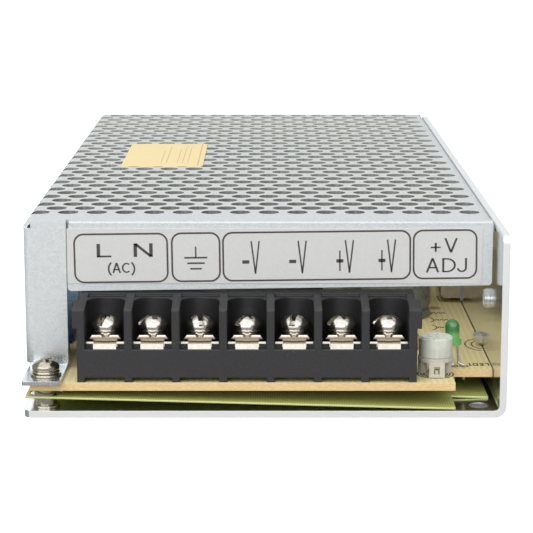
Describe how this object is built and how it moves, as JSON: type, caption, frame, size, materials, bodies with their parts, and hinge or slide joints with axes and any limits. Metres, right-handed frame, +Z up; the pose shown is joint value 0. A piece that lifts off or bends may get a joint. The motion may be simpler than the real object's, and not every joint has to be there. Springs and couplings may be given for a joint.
{
  "type": "switching power supply",
  "caption": "Enclosed switching power supply with a perforated sheet-metal cover on a folded chassis, a barrier screw terminal block, a voltage trimmer and an indicator lamp.",
  "frame": {"origin": "middle of the underside of the box around the part", "axes": "+Z up, -Y towards the terminals, +X towards the chassis wall"},
  "size_m": [0.098, 0.2004, 0.0381],
  "materials": {
    "chassis_metal": "plain sheet, bright satin",
    "cover_metal": "zinc-coated sheet with a fine spangle",
    "sheet_film": "yellow-green insulating sheet",
    "board": "tan laminate",
    "plated_steel": "zinc plated",
    "nickel": "bright nickel",
    "front_label": "matt film label",
    "top_label": "plain pale yellow label",
    "block_plastic": "moulded, fine grain",
    "trimmer_plastic": "moulded, off-white",
    "trimmer_cap": "milky, slightly see-through",
    "lamp_plastic": "tinted green",
    "tinned_wire": "tinned",
    "fuse_glass": "clear tube",
    "filter_box": "blue-grey box",
    "disc_lacquer": "blue lacquer",
    "limiter_lacquer": "dark green lacquer",
    "ferrite": "sintered, dark grey",
    "winding_tape": "yellow tape",
    "chip_plastic": "moulded black",
    "storage_sleeve": "dark sleeve",
    "bobbin_plastic": "moulded black",
    "device_cap": "beige silicone cap",
    "device_pad": "grey silicone pad",
    "choke_core_coat": "coated ring",
    "enamelled_wire": "enamelled copper",
    "output_sleeve": "grey-green sleeve",
    "film_dip": "beige dipped coat",
    "opto_plastic": "moulded white",
    "resistor_coat": "lacquered"
  },
  "bodies": {
    "case": {"chassis": "chassis_metal", "cover": "cover_metal", "insulating_sheet": "sheet_film", "main_board": "board", "standoffs": "plated_steel", "board_screws": "nickel", "spring_washers": "nickel", "flat_washers": "nickel", "cover_screws": "plated_steel", "front_label": "front_label", "top_label": "top_label", "terminal_housing": "block_plastic", "terminal_plates": "nickel", "trimmer_base": "trimmer_plastic", "lamp_lens": "lamp_plastic", "lamp_leads": "tinned_wire", "fuse_tube": "fuse_glass", "fuse_caps": "nickel", "filter_capacitor": "filter_box", "disc_capacitors": "disc_lacquer", "inrush_limiter": "limiter_lacquer", "line_choke_core": "ferrite", "line_choke_windings": "winding_tape", "bridge_rectifier": "chip_plastic", "storage_capacitors": "storage_sleeve", "transformer_core": "ferrite", "transformer_bobbin": "bobbin_plastic", "transformer_winding": "winding_tape", "switching_transistors": "chip_plastic", "output_rectifiers": "device_cap", "insulating_pads": "device_pad", "device_screws": "plated_steel", "output_choke_core": "choke_core_coat", "output_choke_winding": "enamelled_wire", "output_capacitors": "output_sleeve", "film_capacitor": "film_dip", "control_chip": "chip_plastic", "optocoupler": "opto_plastic", "resistors": "resistor_coat"},
    "clamp_1": {"clamp_washer_1": "nickel"},
    "screw_1": {"terminal_screw_1": "nickel"},
    "clamp_2": {"clamp_washer_2": "nickel"},
    "screw_2": {"terminal_screw_2": "nickel"},
    "clamp_3": {"clamp_washer_3": "nickel"},
    "screw_3": {"terminal_screw_3": "nickel"},
    "clamp_4": {"clamp_washer_4": "nickel"},
    "screw_4": {"terminal_screw_4": "nickel"},
    "clamp_5": {"clamp_washer_5": "nickel"},
    "screw_5": {"terminal_screw_5": "nickel"},
    "clamp_6": {"clamp_washer_6": "nickel"},
    "screw_6": {"terminal_screw_6": "nickel"},
    "clamp_7": {"clamp_washer_7": "nickel"},
    "screw_7": {"terminal_screw_7": "nickel"},
    "adjuster": {"trimmer_rotor": "trimmer_cap"}
  },
  "joints": [
    {"name": "clamp_1_lift", "type": "slide", "parent": "case", "child": "clamp_1", "axis": [0, 0, 1], "range_m": [0, 0.00375]},
    {"name": "screw_1_turn", "type": "hinge", "parent": "clamp_1", "child": "screw_1", "pos_m": [-0.03174, -0.09225, 0.0149], "axis": [0, 0, 1], "range_deg": [0, 2251]},
    {"name": "clamp_2_lift", "type": "slide", "parent": "case", "child": "clamp_2", "axis": [0, 0, 1], "range_m": [0, 0.00375]},
    {"name": "screw_2_turn", "type": "hinge", "parent": "clamp_2", "child": "screw_2", "pos_m": [-0.02222, -0.09225, 0.0149], "axis": [0, 0, 1], "range_deg": [0, 2251]},
    {"name": "clamp_3_lift", "type": "slide", "parent": "case", "child": "clamp_3", "axis": [0, 0, 1], "range_m": [0, 0.00375]},
    {"name": "screw_3_turn", "type": "hinge", "parent": "clamp_3", "child": "screw_3", "pos_m": [-0.01269, -0.09225, 0.0149], "axis": [0, 0, 1], "range_deg": [0, 2251]},
    {"name": "clamp_4_lift", "type": "slide", "parent": "case", "child": "clamp_4", "axis": [0, 0, 1], "range_m": [0, 0.00375]},
    {"name": "screw_4_turn", "type": "hinge", "parent": "clamp_4", "child": "screw_4", "pos_m": [-0.00317, -0.09225, 0.0149], "axis": [0, 0, 1], "range_deg": [0, 2251]},
    {"name": "clamp_5_lift", "type": "slide", "parent": "case", "child": "clamp_5", "axis": [0, 0, 1], "range_m": [0, 0.00375]},
    {"name": "screw_5_turn", "type": "hinge", "parent": "clamp_5", "child": "screw_5", "pos_m": [0.00636, -0.09225, 0.0149], "axis": [0, 0, 1], "range_deg": [0, 2251]},
    {"name": "clamp_6_lift", "type": "slide", "parent": "case", "child": "clamp_6", "axis": [0, 0, 1], "range_m": [0, 0.00375]},
    {"name": "screw_6_turn", "type": "hinge", "parent": "clamp_6", "child": "screw_6", "pos_m": [0.01588, -0.09225, 0.0149], "axis": [0, 0, 1], "range_deg": [0, 2251]},
    {"name": "clamp_7_lift", "type": "slide", "parent": "case", "child": "clamp_7", "axis": [0, 0, 1], "range_m": [0, 0.00375]},
    {"name": "screw_7_turn", "type": "hinge", "parent": "clamp_7", "child": "screw_7", "pos_m": [0.02541, -0.09225, 0.0149], "axis": [0, 0, 1], "range_deg": [0, 2251]},
    {"name": "adjuster_turn", "type": "hinge", "parent": "case", "child": "adjuster", "pos_m": [0.03531, -0.09075, 0.01105], "axis": [0, 0, 1], "range_deg": [-105, 105]}
  ],
  "couplings": [
    {"joint": "screw_1_turn", "follows": "clamp_1_lift", "rad_per_m": 10472},
    {"joint": "screw_2_turn", "follows": "clamp_2_lift", "rad_per_m": 10472},
    {"joint": "screw_3_turn", "follows": "clamp_3_lift", "rad_per_m": 10472},
    {"joint": "screw_4_turn", "follows": "clamp_4_lift", "rad_per_m": 10472},
    {"joint": "screw_5_turn", "follows": "clamp_5_lift", "rad_per_m": 10472},
    {"joint": "screw_6_turn", "follows": "clamp_6_lift", "rad_per_m": 10472},
    {"joint": "screw_7_turn", "follows": "clamp_7_lift", "rad_per_m": 10472}
  ]
}
